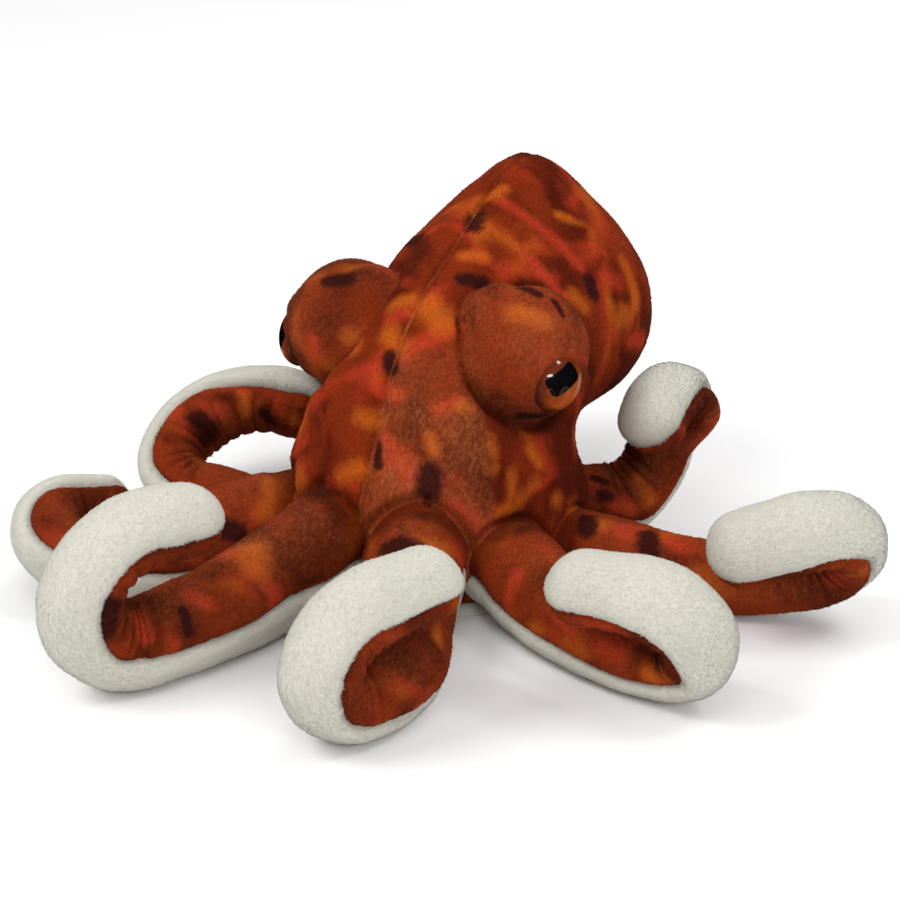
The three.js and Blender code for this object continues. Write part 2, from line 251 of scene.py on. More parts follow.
AMBERS = [
    (2, 40, 115, 4, 45, 116, 2.6), (6, 13, 102, 11, 17, 101, 2.4), (20, 54, 107, 28, 63, 103, 1.9),
    (29, 63, 101, 32, 58, 97, 1.8), (35, 35, 87, 38, 39, 83, 2.8), (38, 70, 90, 43, 69, 76, 2.8),
    (-8, -8, 90, -2, -6, 93, 2.8), (2, -8, 92, 10, -10, 88, 4.4), (-5, -18, 84, -1, -20, 82, 3.4),
    (-21, -14, 79, -18, -17, 77, 3.0), (-6, -34, 61, -1, -34, 61, 2.8), (-8, -42, 44, -3, -41, 47, 3.2),
    (17, -32, 58, 19, -33, 54, 2.0), (23, -24, 67, 26, -22, 66, 2.0), (32, -21, 56, 34, -23, 48, 2.2),
    (40, -9, 50, 43, -7, 45, 1.8), (28, -58, 33, 33, -52, 31, 4.0), (33, -6, 94, 43, -4, 92, 3.4),
    (-20, -80, 31, -16, -84, 28, 4.4), (47, -1, 31, 60, 4, 24, 3.0), (58, 47, 15, 54, 47, 21, 2.6),
    (97, -4, 16, 106, -5, 13, 3.4), (-81, 18, 38, -80, 18, 33, 2.2), (-40, -35, 35, -36, -39, 33, 3.0),
    (62, -57, 12, 67, -57, 14, 2.4), (107, -71, 14, 113, -72, 14, 2.6), (50, -92, 22, 52, -86, 26, 2.6),
]
CORALS = [
    (6, 40, 113, 33, 47, 93, 2.2), (-15, 29, 104, 3, 24, 107, 2.2), (21, 29, 99, 33, 31, 87, 2.0),
    (38, 57, 88, 41, 62, 85, 3.4), (43, 62, 64, 42, 74, 60, 3.0), (-7, -13, 87, 4, -6, 93, 2.6),
    (2, -23, 80, 14, -9, 87, 2.6), (-33, -20, 57, -6, -26, 75, 2.8), (-36, -22, 41, -31, -27, 47, 3.2),
    (-14, -42, 41, -3, -44, 42, 1.8), (8, -38, 52, 13, -39, 48, 3.8), (3, -37, 57, 6, -37, 55, 2.2),
    (17, -27, 66, 22, -24, 68, 2.2), (27, -36, 38, 35, -30, 30, 2.8), (34, -46, 30, 36, -42, 26, 3.6),
    (-25, -84, 31, -8, -84, 18, 3.0), (-25, -108, 27, -19, -106, 24, 2.4),
    (-32, -124, 26, -28, -127, 21, 2.2), (-3, -29, 71, 5, -30, 69, 2.2), (-101, 3, 34, -94, 2, 29, 3.2),
    (-89, 19, 40, -84, 22, 36, 2.4), (-34, -17, 77, -33, -16, 71, 2.6), (48, 38, 16, 53, 42, 13, 2.6),
    (64, 4, 22, 70, 2, 21, 3.0), (84, 3, 22, 90, 2, 20, 2.6), (-91, 7, 35, -86, 11, 33, 2.8),
    (-83, 17, 42, -81, 19, 38, 2.0), (51, -50, 17, 53, -44, 23, 2.4), (91, -66, 18, 97, -67, 17, 2.8),
    (72, -58, 20, 78, -60, 19, 2.0),
]


def stroke_distance(points, start, end):
    """The distance of each point from a straight stroke, in millimetres."""
    start, way = np.asarray(start, float), np.subtract(end, start)
    t = np.clip((points - start) @ way / (way @ way), 0, 1)
    return np.linalg.norm(points - start - t[:, None] * way, axis=1)


def markings(places, seam, deep, painted_sheen):
    """What the materials need at each place: how far it is from a spot, an amber and a coral patch (1 at
    the edge), the distance from a seam of the body, how much painted shade it gets in folds, creases and
    recesses, and how much painted sheen it gets."""
    points = places / MM
    out = [np.full(len(points), 3.0) for _ in range(3)]
    for column, patches in enumerate((SPOTS, AMBERS, CORALS)):
        for *ends, radius in patches:
            distance = stroke_distance(points, ends[:3], ends[3:])
            out[column] = np.minimum(out[column], distance / radius)
    return np.stack([*out, seam, deep, painted_sheen], 1)


# ---- Arms ----


def turned(vector, axis, angle):
    """vector turned about a unit axis, in radians."""
    c, s = math.cos(angle), math.sin(angle)
    return vector * c + np.cross(axis, vector) * s + axis * axis.dot(vector) * (1 - c)


ROOT_REACH = 9  # how far an arm's skin runs into the body, in millimetres
HALF_SIDES = 34  # facets over one half of an arm
MIDDLE_SIDES = 5  # inside the arm, where the half closes
CAP_RINGS = 12
CAP_END = math.radians(87)
SEAM_GAP = 0.012  # between the two halves, as an angle round the arm
BLEND = 9  # over which one stroke turns into the next
SIZE_BLEND = 15
SEAM_DEPTH = 1.9
SEAM_SWELL = 0.45  # how far the stuffing swells beside a seam
SEAM_CREEP = 1.6  # how far the cream side reaches round an arm's curl
FOLD_LENGTH = 9.5
FOLD_DEPTH = 1.1
TUCK_LENGTH = 5.3
TUCK_DEPTH = 0.45
LUMPS = (0.9, 0.45)  # heights of the broad and the small lumps of the stuffing


def running_mean(values, width):
    """Each value as the mean of those around it."""
    soft = np.ones(width) / width
    return np.convolve(np.pad(values, width // 2, mode="edge"), soft, "valid")


def walk_arm(angle, root, tip, strokes):
    """Follows the strokes along the arm's underside, a millimetre at a time. Returns the point on
    the underside, the ways along, up and to the left, the half width and height, the length so far
    and how fast the arm curls up at each step."""
    total = sum(stroke[0] for stroke in strokes)
    rates = np.concatenate([np.tile(np.array(s[1:]) / s[0], (s[0], 1)) for s in strokes])
    rates = np.radians(np.stack([running_mean(r, BLEND) for r in rates.T], 1))
    room = np.concatenate([np.full(s[0], BEND_ROOM * s[0] / math.radians(max(s[1], 1))) for s in strokes])
    share = np.clip(np.arange(-ROOT_REACH, total + 1) / total, 0, 1) ** ARM_THINNING
    sizes = np.outer(1 - share, root) + np.outer(share, tip)
    room = np.pad(room, (ROOT_REACH + 1, 0), mode="edge")
    sizes[:, 1] = running_mean(np.minimum(sizes[:, 1], room), SIZE_BLEND)
    turn = math.radians(angle)
    along = np.array([math.cos(turn), math.sin(turn), 0.0])
    up = np.array([0.0, 0.0, 1.0])
    left = np.cross(up, along)
    place = along * (ARM_RING - ROOT_REACH)
    frames = []
    for size, s in zip(sizes, range(-ROOT_REACH, total + 1)):
        if s > -ROOT_REACH:
            rise, side, roll = rates[s - 1] if s > 0 else (0, 0, 0)
            along, up = turned(along, left, -rise), turned(up, left, -rise)
            along, left = turned(along, up, side), turned(left, up, side)
            up, left = turned(up, along, roll), turned(left, along, roll)
            place = place + along
        reach = math.hypot(size[1] * up[2], size[0] * left[2])
        lowest = place[2] + up[2] * (size[1] - FLOOR_PRESS) - reach + FLOOR_PRESS
        place = place + np.array([0, 0, max(0.0, -lowest)])
        bend = rates[min(max(s, 0), total - 1)][0]
        frames.append((place, along, up, left, size, s, bend))
    return frames


def seam_wander(s, phase):
    """How far an arm's seam strays towards the print, in millimetres."""
    at = np.array([[s, phase, 0.0]])
    return float(noise(at, 17, 41)[0] * 1.3 + noise(at, 6, 42)[0] * 0.5)


def arm_grid(frames, part, seam_turn):
    """Points of the skin of one half of an arm: rows along it, and columns from its left seam over the
    outside to its right seam and back through the middle. Returns the places, the ways along, and for
    each point its length along the arm, its distance from the seam, its painted shade (how deep in a fold
    it lies, or more inside a curl), and its share of the way from one seam to the other."""
    caps = [(math.sin(t), math.cos(t)) for t in np.linspace(0, CAP_END, CAP_RINGS + 1)[1:]]
    rows = [(frame, 0.0, 1.0) for frame in frames] + [(frames[-1], *cap) for cap in caps]
    bends = running_mean(np.array([frame[6] for frame in frames]), 15)
    phase = frames[0][0][0] + 2 * frames[0][0][1]
    printed = part == "upper"
    places, ways, notes = [], [], []
    for n, ((place, along, up, left, size, s, _), shift, shrink) in enumerate(rows):
        s = s + shift * size[1]
        bend = bends[min(n, len(bends) - 1)]
        curl = min(1.0, max(0.0, bend) * size[1] / 0.4)
        stray = [(seam_wander(s, phase + side) + curl * SEAM_CREEP) / size[0] for side in (0, 300)]
        low, high = stray[0], math.pi - stray[1]
        if not printed:
            low, high = high, 2 * math.pi + low
        # The seams turn round the arm between its root and its tip.
        shifted = math.radians(seam_turn) * step(s, 4, 34) * step(len(frames) - n - 8, 0, 50)
        low, high = low + shifted, high + shifted
        turns = np.linspace(low + SEAM_GAP, high - SEAM_GAP, HALF_SIDES + 1)
        cos, sin = np.cos(turns), np.sin(turns)
        # The root is gathered where it is sewn to the body.
        gather = 0.93 + 0.07 * step(s, -8, 9)
        across, over = (size[0] - SKIN_INSET) * gather, (size[1] - SKIN_INSET) * gather
        centre = place + up * (size[1] - FLOOR_PRESS) + along * shift * (size[1] - SKIN_INSET)
        radial = np.outer(cos * across, left) + np.outer(sin * over, up)
        ring = centre + radial * shrink
        out = unit(np.outer(cos * over, left) + np.outer(sin * across, up))
        out = out * shrink + along * (1 - shrink)
        from_seam = np.minimum(turns - low, high - turns) * (across + over) / 2 * max(shrink, 0.05)
        # The seam is drawn in, and the stuffing swells between seams.
        groove = SEAM_SWELL * bell(from_seam - 5, 3) - SEAM_DEPTH * bell(from_seam, 1.5)
        # Cloth on the inside of a curl is pushed into folds across the arm.
        inner = np.clip(sin, 0, 1) ** 0.5 if printed else sin * 0
        arc = turns * (across + over) / 2
        at = np.stack([arc * 0 + s + phase, arc * 0.5, arc * 0], 1)
        wave = s / FOLD_LENGTH + noise(at, 13, 5) * 1.1
        fold = (1 - np.abs(np.sin(math.pi * wave))) ** 1.3
        deep = fold * (0.12 + 0.88 * curl) * inner * step(from_seam, -1, 4)
        lumps = noise(ring, 24, 2) * LUMPS[0] + noise(ring, 10, 3) * LUMPS[1]
        tucks = np.abs(np.sin(math.pi * (s / TUCK_LENGTH + noise(ring, 12, 4))))
        pucker = np.exp(-from_seam / 3.0) * tucks * TUCK_DEPTH
        # Painted shade inside a curl, away from the seams, which goes into the colour but does not move
        # the cloth.
        painted_recess_shade = 0.25 * curl * inner * step(from_seam, 1, 12)
        offset = groove + lumps - pucker - FOLD_DEPTH * deep
        ring = ring + out * (offset * min(1.0, shrink + 0.15))[:, None]
        # The floor flattens what would lie below it.
        ring[:, 2] = 0.5 * (ring[:, 2] + np.sqrt(ring[:, 2] ** 2 + 0.6)) + 0.1
        # The half closes inside the arm.
        back = np.linspace(1, 0, MIDDLE_SIDES + 2)[1:-1, None]
        middle = ring[0] + (ring[-1] - ring[0]) * back + out[len(out) // 2] * 0.2
        places.append(np.concatenate([ring, middle]))
        ways.append(np.tile(along * shrink + out[len(out) // 2] * (shrink - 1), (len(places[-1]), 1)))
        across = (turns - low) / (high - low)
        note = np.stack([turns, from_seam, np.maximum(deep, painted_recess_shade), across], 1)
        notes.append(np.pad(note, ((0, MIDDLE_SIDES), (0, 0))))
        notes[-1][:, 0] = s
    return np.array(places) * MM, np.array(ways), np.array(notes)


def tube_faces(rows, columns):
    """Three-sided faces of a closed tube of rings, with a fan at each end from an added middle point."""
    index = np.arange(rows * columns).reshape(rows, columns)
    nxt = np.roll(index, -1, axis=1)
    quads = ring_quads(rows, columns)
    sides = np.concatenate([quads[:, [0, 1, 2]], quads[:, [0, 2, 3]]])
    start, end = np.full(columns, rows * columns), np.full(columns, rows * columns + 1)
    ends = [np.stack([start, nxt[0], index[0]], 1), np.stack([end, index[-1], nxt[-1]], 1)]
    return np.concatenate([sides, *ends])


# ---- Body ----


def body_point_grid(rows=150, columns=96):
    """Points of head and mantle, smoothed through the sections."""
    keys = np.array([[*f, *b, w, r] for f, b, w, r in BODY_SECTIONS], float)
    gaps = np.linalg.norm(np.diff(keys[:, :4], axis=0), axis=1)
    at = np.concatenate([[0], np.cumsum(gaps)])
    where = np.linspace(0, at[-1], rows)
    slopes = np.gradient(keys, at, axis=0)
    k = np.clip(np.searchsorted(at, where, side="right") - 1, 0, len(at) - 2)
    h = (at[k + 1] - at[k])[:, None]
    t = ((where - at[k])[:, None]) / h
    values = (
        (2 * t**3 - 3 * t**2 + 1) * keys[k]
        + (t**3 - 2 * t**2 + t) * h * slopes[k]
        + (-2 * t**3 + 3 * t**2) * keys[k + 1]
        + (t**3 - t**2) * h * slopes[k + 1]
    )
    turns = np.linspace(0, 2 * math.pi, columns, endpoint=False)
    cos, sin = np.cos(turns), np.sin(turns)
    grid = np.zeros((rows, columns, 3))
    for i, (fy, fz, by, bz, width, ridge) in enumerate(values):
        front, back = np.array([0, fy, fz]), np.array([0, by, bz])
        centre = front + (back - front) * WIDEST
        reach = np.where(cos[:, None] > 0, front, back) - centre
        inset = 1 - SKIN_INSET / np.linalg.norm(reach, axis=1)
        grid[i] = centre + reach * (inset * np.abs(cos))[:, None]
        power = np.where(cos > 0, 1 + max(ridge, 0), 1)
        grid[i, :, 0] += (width - SKIN_INSET) * np.abs(sin) ** power * np.sign(sin)
    return grid


BODY_FACET = 1.15  # size of a facet of the body's skin, in millimetres


def body_skin():
    """Head, mantle and eye mounds as one stuffed skin."""
    grid = body_point_grid()
    rows, columns = grid.shape[:2]
    bm = bmesh.new()
    verts = [bm.verts.new(p * MM) for p in grid.reshape(-1, 3)]
    for face in ring_quads(rows, columns):
        bm.faces.new([verts[i] for i in face])
    bm.faces.new(verts[:columns])
    bm.faces.new(verts[-columns:])
    for side in (1, -1):
        for ball in (MOUND, BROW):
            place = Matrix.Translation(Vector((side * ball["x"], ball["y"], ball["z"])) * MM)
            size = Matrix.Diagonal([(r - SKIN_INSET) * MM for r in ball["radii"]] + [1])
            bmesh.ops.create_icosphere(bm, subdivisions=5, radius=1, matrix=place @ size)
    bmesh.ops.recalc_face_normals(bm, faces=bm.faces)
    mesh = bpy.data.meshes.new("body_skin")
    bm.to_mesh(mesh)
    bm.free()
    skin = add_object("body_skin", mesh)
    remesh = skin.modifiers.new("remesh", "REMESH")
    remesh.mode = "VOXEL"
    remesh.voxel_size = BODY_FACET * MM
    smooth = skin.modifiers.new("smooth", "SMOOTH")
    smooth.factor = 0.5
    smooth.iterations = 5
    apply_modifiers(skin)
    skin.data.polygons.foreach_set("use_smooth", np.ones(len(skin.data.polygons), bool))
    return skin


def apply_modifiers(obj):
    graph = bpy.context.evaluated_depsgraph_get()
    mesh = bpy.data.meshes.new_from_object(obj.evaluated_get(graph))
    old = obj.data
    obj.modifiers.clear()
    obj.data = mesh
    mesh.name = obj.name
    bpy.data.meshes.remove(old)


# The seam from under an eye mound down the face, in millimetres. The centre seam lies at x = 0.
DART = [(29, -21, 63), (32, -21.5, 56), (34, -23, 48), (36, -27.5, 38), (37.5, -31, 28), (39, -33, 16)]


def line_distance(points, line):
    """The distance of each point from a line of points, in millimetres."""
    return np.min([stroke_distance(points, a, b) for a, b in zip(line, line[1:])], axis=0)


def seam_distances(p):
    """The distances from the centre seam and from the nearer dart, in millimetres."""
    x, y, z = p.T
    centre = np.where((z > 70) | (y < 5), np.abs(x - 0.8 * noise(p, 30, 11)), 99.0)
    stray = p + np.array([0.7, 0, 0]) * noise(p, 14, 12)[:, None]
    darts = np.minimum(line_distance(stray, DART), line_distance(stray * [-1, 1, 1], DART))
    return centre, darts


def mound_distance(p, *sides):
    """1 on the surface of the nearest eye mound with its brow, less inside it."""
    balls = [
        np.linalg.norm((p - [side * ball["x"], ball["y"], ball["z"]]) / ball["radii"], axis=1)
        for side in sides
        for ball in (MOUND, BROW)
    ]
    return np.min(balls, axis=0)


# How far each of these moves the cloth of the body out or in, in millimetres.
CENTRE_SEAM = 1.5
DART_SEAM = 1.9
BODY_SWELL = 0.8
BODY_TUCKS = 0.5
FOOT_FOLDS = 1.3
MOUND_CREASE = 4.0
SOCKET_RISE = 0.9
ARM_CREASE = 1.6
BODY_LUMPS = (1.1, 0.4)


def shape_body(skin):
    """Adds seams, folds and creases. Returns how far each vertex lies from a seam, how much painted shade
    it gets in creases, folds and seams, and how much painted sheen it gets."""
    p = read(skin.data.vertices, "co", 3) / MM
    n = read(skin.data.vertices, "normal", 3)
    x, y, z = p.T
    centre, darts = seam_distances(p)
    seams = np.minimum(centre, darts)
    lumps = noise(p, 36, 21) * BODY_LUMPS[0] + noise(p, 14, 22) * BODY_LUMPS[1]
    groove = CENTRE_SEAM * bell(centre, 1.3) + DART_SEAM * bell(darts, 1.5)
    swell = BODY_SWELL * bell(seams - 7, 5)
    tucks = np.abs(np.sin(math.pi * (z + y * 0.5) / 6.1 + 2 * noise(p, 15, 24)))
    pucker = BODY_TUCKS * np.exp(-seams / 3.5) * tucks
    # Folds where the arms pull on the foot of the body.
    low = step(42 - z, 0, 20)
    around = np.arctan2(y, x) * 46
    wave = noise(np.stack([around, z * 0.4, np.zeros(len(p))], 1), 12, 23)
    folds = low * (1 - np.abs(wave)) ** 5
    # A crease round the foot of each eye mound, deepest underneath.
    near = mound_distance(p, 1, -1)
    under = step(MOUND["z"] - z, -14, 12)
    foot = bell(near - 1.09, 0.075) * (0.35 + 0.65 * under)
    # The cloth stands up a little round each eye.
    socket = np.zeros(len(p))
    for side in (1, -1):
        away = np.linalg.norm(p - [side * EYE["x"], EYE["y"], EYE["z"]], axis=1)
        socket += bell(away - EYE["radius"] - 1, 3)
    # A crease where each arm is sewn on.
    sewn = np.zeros(len(p))
    for angle, root, tip, _, strokes in ARMS.values():
        place, along, up, left, size = walk_arm(angle, root, tip, strokes)[ROOT_REACH][:5]
        away = p - place - up * (size[1] - FLOOR_PRESS)
        edge = np.hypot(away @ left / size[0], away @ up / size[1])
        sewn = np.maximum(sewn, bell(edge - 1.03, 0.09) * step(away @ along, -18, -10))
    move = lumps - groove + swell - pucker + SOCKET_RISE * socket
    move -= FOOT_FOLDS * folds + MOUND_CREASE * foot + ARM_CREASE * sewn
    move *= step(z, 2, 9)
    places = p + n * move[:, None]
    skin.data.vertices.foreach_set("co", (places * MM).ravel())
    skin.data.update()
    # Painted shade: darkest in the crease under each eye mound, less in the foot's folds, along the seams
    # and where the arms are sewn on.
    deep = 1.2 * foot * under + 0.5 * folds + 0.3 * bell(seams, 1.4) + 0.8 * sewn
    return np.minimum(seams, FAR_FROM_SEAM), np.clip(deep, 0, 1), painted_sheen_share(p, near)


def painted_sheen_share(p, near):
    """How much painted sheen each place gets, a pale tan where the pile would catch the light: most on
    the mounds and on the panel between the centre seam and the left dart."""
    x, y, z = p.T
    dart_across, _, dart_heights = zip(*reversed(DART))
    dart_x = np.interp(z, dart_heights, dart_across)
    face = step(-y, -8, 12) * step(86 - z, 0, 10)
    panel = face * step(x, -0.6, 0.8) * step(dart_x - x, -0.6, 0.8)
    mound = (1 - step(near, 1.02, 1.12)) * 0.55
    patchy = 0.75 + 0.5 * noise(p, 16, 61)
    return np.clip(np.max([panel, mound, np.full(len(p), 0.06)], axis=0) * patchy, 0, 1)


def body_lie(p):
    """The way the body's pile lies: down, forward and away from the centre seam, and outwards and
    down over each eye mound."""
    lie = np.tile(np.array([0.0, -0.55, -0.8]), (len(p), 1))
    lie[:, 0] += 0.35 * np.sign(p[:, 0]) * step(np.abs(p[:, 0]), 0, 12)
    for side in (1, -1):
        on = 1 - step(mound_distance(p, side), 1.0, 1.25)
        lie += on[:, None] * (np.array([side * 0.9, -0.2, -0.9]) - lie)
    return lie + 0.25 * np.stack([noise(p, 9, 31 + axis) for axis in range(3)], 1)


# ---- Pile ----

# How the pile is cut and brushed: lengths and widths in millimetres, angles in degrees.
PRINT_PILE = {"count": 9000, "length": 1.3, "width": 0.34, "lift": 15, "spread": 14}
BODY_PILE = {"count": 34000, "length": 1.35, "width": 0.34, "lift": 15, "spread": 13}
CREAM_PILE = {"count": 27000, "width": 0.30, "lift": 26, "spread": 30, "soften": 0.985}
CREAM_LENGTH = 0.85
FRINGE_LENGTH = 1.0  # added next to a seam
PRINT_LEAN = 0.6  # how far the print's pile leans over a seam, where the cream's leans fully
ROOT_SUNK = 0.12


def make_coat(name, skin, lie, where, seed, count, length, width, lift, spread, soften=0.9):
    """A coat of thin closed tufts over a skin.

    lie is the way the pile lies at each vertex, where is 1 at the vertices that bear it, lift is its
    angle off the skin, and spread how far a tuft strays from the lie. length may differ from vertex
    to vertex. soften is how far a tuft is lit as part of the skin."""
    random = np.random.default_rng(seed)
    mesh = skin.data
    mesh.calc_loop_triangles()
    tris = read(mesh.loop_triangles, "vertices", 3, np.int32)
    loops = read(mesh.loop_triangles, "loops", 3, np.int32)
    co = read(mesh.vertices, "co", 3)
    normal = read(mesh.vertices, "normal", 3)
    uv = read(mesh.uv_layers["OFBake"].data, "uv", 2)
    marks = np.stack([read(mesh.attributes[mark].data, "value") for mark in MARK_NAMES], 1)
    a, b, c = (co[tris[:, corner]] for corner in range(3))
    area = np.linalg.norm(np.cross(b - a, c - a), axis=1) * where[tris].min(1)
    ends = np.cumsum(area)
    spots = (np.arange(count) + random.random(count)) / count * ends[-1]
    pick = np.clip(np.searchsorted(ends, spots), 0, len(tris) - 1)
    r1, r2 = np.sqrt(random.random(count)), random.random(count)
    w = np.stack([1 - r1, r1 * (1 - r2), r1 * r2], 1)

    def mix(values):
        return (values[tris[pick]] * w[:, :, None]).sum(1)

    root, n, d = mix(co), unit(mix(normal)), mix(lie)
    if isinstance(length, np.ndarray):
        length = (length[tris[pick]] * w).sum(1)
    d = d - n * (d * n).sum(1)[:, None]
    loose = np.linalg.norm(d, axis=1) < 0.05
    d[loose] = np.cross(n[loose], [0.3, 0.5, 0.8])
    d = unit(d)
    stray = np.radians(spread) * random.standard_normal(count)
    across = np.cross(n, d)
    d = d * np.cos(stray)[:, None] + across * np.sin(stray)[:, None]
    across = np.cross(n, d)
    rise = np.radians(np.clip(lift + lift * 0.35 * random.standard_normal(count), 4, 85))
    way = d * np.cos(rise)[:, None] + n * np.sin(rise)[:, None]
    size = length * (0.7 + 0.6 * random.random(count)) * MM
    half = width * (0.75 + 0.5 * random.random(count)) * MM / 2
    sunk = root - n * ROOT_SUNK * MM - d * (size * 0.15)[:, None]
    verts = np.empty((count, 4, 3))
    verts[:, 0] = sunk + across * half[:, None]
    verts[:, 1] = sunk - across * half[:, None]
    ridge = n * np.cos(rise)[:, None] - d * np.sin(rise)[:, None]
    verts[:, 2] = sunk + way * (size * 0.35)[:, None] + ridge * (half * 0.9)[:, None]
    verts[:, 3] = sunk + way * size[:, None]
    verts[:, :, 2] = np.maximum(verts[:, :, 2], 0.05 * MM)
    base = np.arange(count)[:, None, None] * 4
    faces = base + np.array([[0, 2, 3], [2, 1, 3], [1, 0, 3], [0, 1, 2]])[None]
    coat = mesh_object(name, verts.reshape(-1, 3), faces.reshape(-1, 3))
    mesh = coat.data
    root_uv = (uv[loops[pick]] * w[:, :, None]).sum(1)
    patch = np.array([[-0.0015, 0], [0.0015, 0], [0, 0.001], [0, -0.002]])
    corner = read(mesh.loops, "vertex_index", 1, np.int32)
    layer = mesh.uv_layers.new(name="OFBake")
    layer.data.foreach_set("uv", (root_uv[corner // 4] + patch[corner % 4]).ravel())
    set_marks(coat, np.repeat(mix(marks), 4, axis=0))
    shade = mesh.attributes.new("strand", "FLOAT", "POINT")
    shade.data.foreach_set("value", np.repeat(random.random(count), 4))
    # Tufts are lit as the soft surface they make up, not each as a facet.
    own = read(mesh.vertices, "normal", 3).reshape(count, 4, 3)
    soft = unit(n[:, None, :] * soften + own * (1 - soften)).reshape(-1, 3)
    mesh.normals_split_custom_set_from_vertices(soft.tolist())
    return coat


# ---- Materials ----


class Nodes:
    """Short names for building a material's nodes."""

    def __init__(self, name):
        self.material = bpy.data.materials.new(name)
        self.material.use_nodes = True
        self.tree = self.material.node_tree
        self.shader = self.tree.nodes["Principled BSDF"]

    def add(self, kind, inputs=None, **settings):
        node = self.tree.nodes.new(kind)
        for key, value in settings.items():
            setattr(node, key, value)
        self.feed(node, inputs or {})
        return node

    def feed(self, node, inputs):
        """Sets a node's sockets to values, or links them to other sockets."""
        for key, value in inputs.items():
            if isinstance(value, bpy.types.NodeSocket):
                self.tree.links.new(value, node.inputs[key])
            else:
                node.inputs[key].default_value = value

    def place(self):
        return self.add("ShaderNodeTexCoord").outputs["Object"]

    def noise(self, place, size, detail=2.0, rough=0.5, warp=0.0, stretch=None):
        """Noise with lumps about `size` millimetres across."""
        if stretch:
            place = self.add("ShaderNodeMapping", {"Vector": place, "Scale": stretch}).outputs[0]
        inputs = {"Scale": 1000 / size, "Detail": detail, "Roughness": rough, "Distortion": warp}
        return self.add("ShaderNodeTexNoise", {"Vector": place, **inputs}).outputs["Fac"]

    def ramp(self, value, low, high):
        """0 at low and 1 at high, smooth between and level beyond. Low may be the greater."""
        inputs = {"Value": value, "From Min": low, "From Max": high, "To Min": 0.0, "To Max": 1.0}
        return self.add("ShaderNodeMapRange", inputs, interpolation_type="SMOOTHSTEP").outputs["Result"]

    def math(self, operation, a, b=0.0):
        return self.add("ShaderNodeMath", {0: a, 1: b}, operation=operation).outputs[0]

    def times(self, a, b):
        return self.math("MULTIPLY", a, b)

    def plus(self, a, b):
        return self.math("ADD", a, b)

    def less(self, a, b):
        return self.math("SUBTRACT", a, b)

    def hypot(self, a, b):
        return self.math("SQRT", self.plus(self.times(a, a), self.times(b, b)))

    def vector(self, operation, a, inputs):
        return self.add("ShaderNodeVectorMath", {0: a, **inputs}, operation=operation).outputs

    def mix(self, factor, a, b, blend="MIX"):
        a, b = ((*colour, 1.0) if isinstance(colour, tuple) else colour for colour in (a, b))
        inputs = {0: factor, 6: a, 7: b}
        return self.add("ShaderNodeMix", inputs, data_type="RGBA", blend_type=blend).outputs[2]

    def tinted(self, colour, tint):
        return self.mix(1.0, colour, tint, "MULTIPLY")

    def veins(self, place, size, warp):
        """How far a place is from a wandering net with meshes about `size` millimetres across."""
        inputs = {"Vector": place, "Scale": 1000 / size * 1.3, "Detail": 2.0}
        shift = self.add("ShaderNodeTexNoise", inputs).outputs["Color"]
        shift = self.vector("SUBTRACT", shift, {1: (0.5, 0.5, 0.5)})[0]
        shift = self.vector("SCALE", shift, {"Scale": warp * size * MM})[0]
        inputs = {"Vector": self.vector("ADD", place, {1: shift})[0], "Scale": 1000 / size}
        return self.add("ShaderNodeTexVoronoi", inputs, feature="DISTANCE_TO_EDGE").outputs["Distance"]

    def mark(self, name):
        return self.add("ShaderNodeAttribute", attribute_name=name).outputs["Fac"]

    def bump(self, height, strength, distance):
        inputs = {"Height": height, "Strength": strength, "Distance": distance * MM}
        self.feed(self.shader, {"Normal": self.add("ShaderNodeBump", inputs).outputs[0]})


CREAM = (0.570, 0.551, 0.484)
RUST = (0.212, 0.0225, 0.0040)
UMBER = (0.086, 0.0076, 0.0018)
MAROON = (0.058, 0.0050, 0.0020)
AMBER = (0.500, 0.102, 0.0095)
CORAL = (0.450, 0.038, 0.0140)
SPOT = (0.030, 0.0060, 0.0060)
# Painted sheen: the tan that lightens the print where its pile would catch the light.
SHEEN_COLOUR = (0.43, 0.135, 0.048)
THREAD = (0.50, 0.190, 0.060)
CREAM_LOW = (0.545, 0.525, 0.456)
CREAM_SOIL = (0.530, 0.502, 0.428)
CREAM_TIP = (0.600, 0.583, 0.520)
# What the print's colour is multiplied by for painted shade in folds, creases and recesses, between
# grains, and at the pile's tips.
PAINTED_SHADE_TINT = (0.22, 0.15, 0.15)
GRAIN_TINT = (0.78, 0.72, 0.70)
TIP_TINT = (1.55, 1.65, 1.7)


